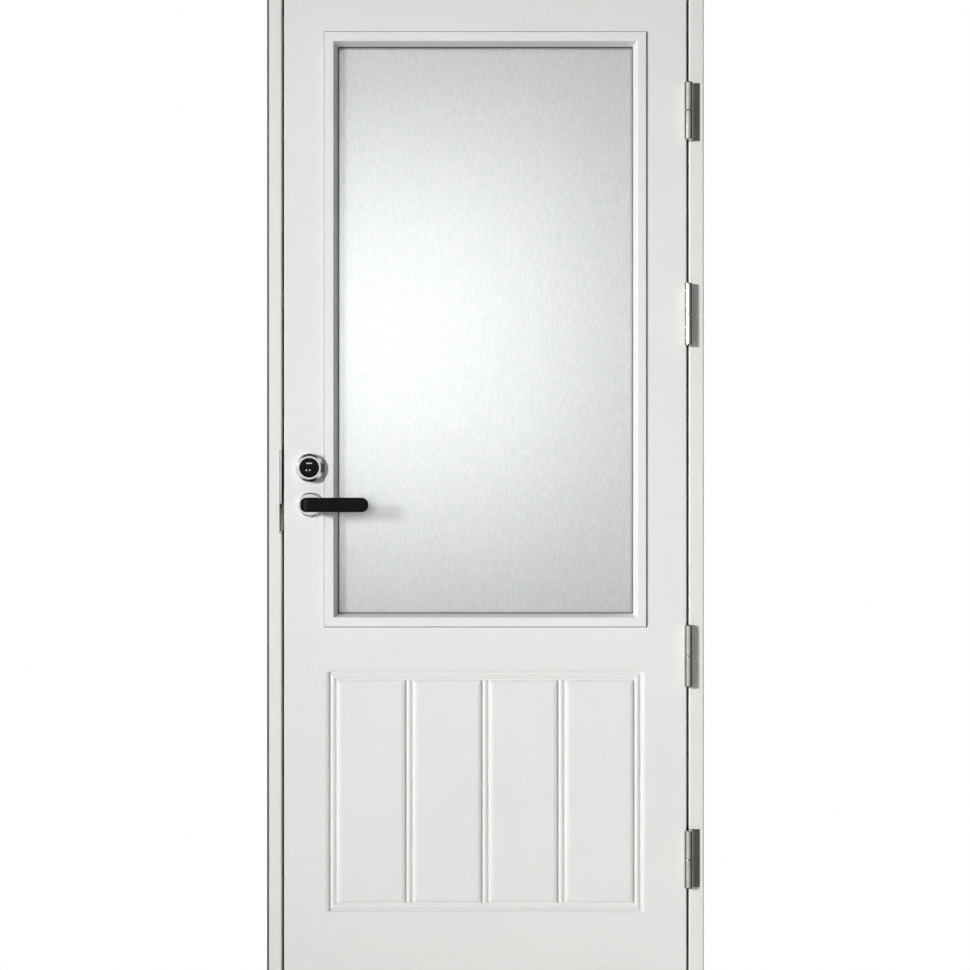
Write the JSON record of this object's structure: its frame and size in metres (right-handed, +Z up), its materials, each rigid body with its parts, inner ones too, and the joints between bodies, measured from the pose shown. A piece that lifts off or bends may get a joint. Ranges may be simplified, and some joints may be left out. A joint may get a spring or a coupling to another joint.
{
  "type": "fire door",
  "caption": "Glazed white timber fire door in a rebated frame: frosted pane in mitred beads, moulded lower panel, lift-off hinges, and a lever handle that turns.",
  "frame": {"origin": "middle of the threshold's underside, at half the frame's width and depth", "axes": "+X to the hinge side, seen from the side the leaf opens to, +Y into the wall, +Z up"},
  "size_m": [0.89, 0.178, 2.09],
  "materials": {
    "painted_frame": "satin white paint on softwood",
    "painted_leaf": "satin white paint on timber and fibreboard",
    "oak_threshold": "lacquered oak",
    "frosted_glass": "etched, translucent",
    "seal_rubber": "matt",
    "swelling_strip": "matt",
    "hinge_steel": "satin nickel plated",
    "lock_steel": "satin",
    "bright_chrome": "polished",
    "black_cylinder_face": "smooth black",
    "black_lever": "satin black coating"
  },
  "bodies": {
    "frame": {"latch_jamb": "painted_frame", "hinge_jamb": "painted_frame", "head": "painted_frame", "threshold": "oak_threshold", "rebate_seal": "seal_rubber", "swelling_strips": "swelling_strip", "strike_plate": "lock_steel", "top_hinge_frame_half": "hinge_steel", "upper_hinge_frame_half": "hinge_steel", "lower_hinge_frame_half": "hinge_steel", "bottom_hinge_frame_half": "hinge_steel"},
    "leaf": {"back_bead_bottom": "painted_leaf", "back_bead_left": "painted_leaf", "back_bead_right": "painted_leaf", "back_bead_top": "painted_leaf", "back_cylinder_face": "black_cylinder_face", "back_cylinder_ring": "bright_chrome", "back_glass_seal": "seal_rubber", "back_rose": "bright_chrome", "back_skin": "painted_leaf", "bottom_hinge_leaf_half": "hinge_steel", "bottom_rail": "painted_leaf", "core_panel": "painted_leaf", "fire_glass": "frosted_glass", "front_bead_bottom": "painted_leaf", "front_bead_left": "painted_leaf", "front_bead_right": "painted_leaf", "front_bead_top": "painted_leaf", "front_cylinder_face": "black_cylinder_face", "front_cylinder_ring": "bright_chrome", "front_glass_seal": "seal_rubber", "front_rose": "bright_chrome", "front_skin": "painted_leaf", "hinge_stile": "painted_leaf", "latch_bolt": "lock_steel", "lock_forend": "lock_steel", "lock_stile": "painted_leaf", "lower_hinge_leaf_half": "hinge_steel", "middle_rail": "painted_leaf", "top_hinge_leaf_half": "hinge_steel", "top_rail": "painted_leaf", "upper_hinge_leaf_half": "hinge_steel"},
    "lever": {"front_lever": "black_lever", "back_lever": "black_lever", "spindle": "lock_steel"}
  },
  "joints": [
    {"name": "leaf_swing", "type": "hinge", "parent": "frame", "child": "leaf", "pos_m": [0.4125, -0.0677, 1.04], "axis": [0, 0, 1], "range_deg": [0, 170]},
    {"name": "lever_turn", "type": "hinge", "parent": "leaf", "child": "lever", "pos_m": [-0.357, -0.0275, 1], "axis": [0, 1, 0], "range_deg": [0, 45], "stiffness_Nm_per_rad": 1.5, "springref_deg": -34.38}
  ]
}
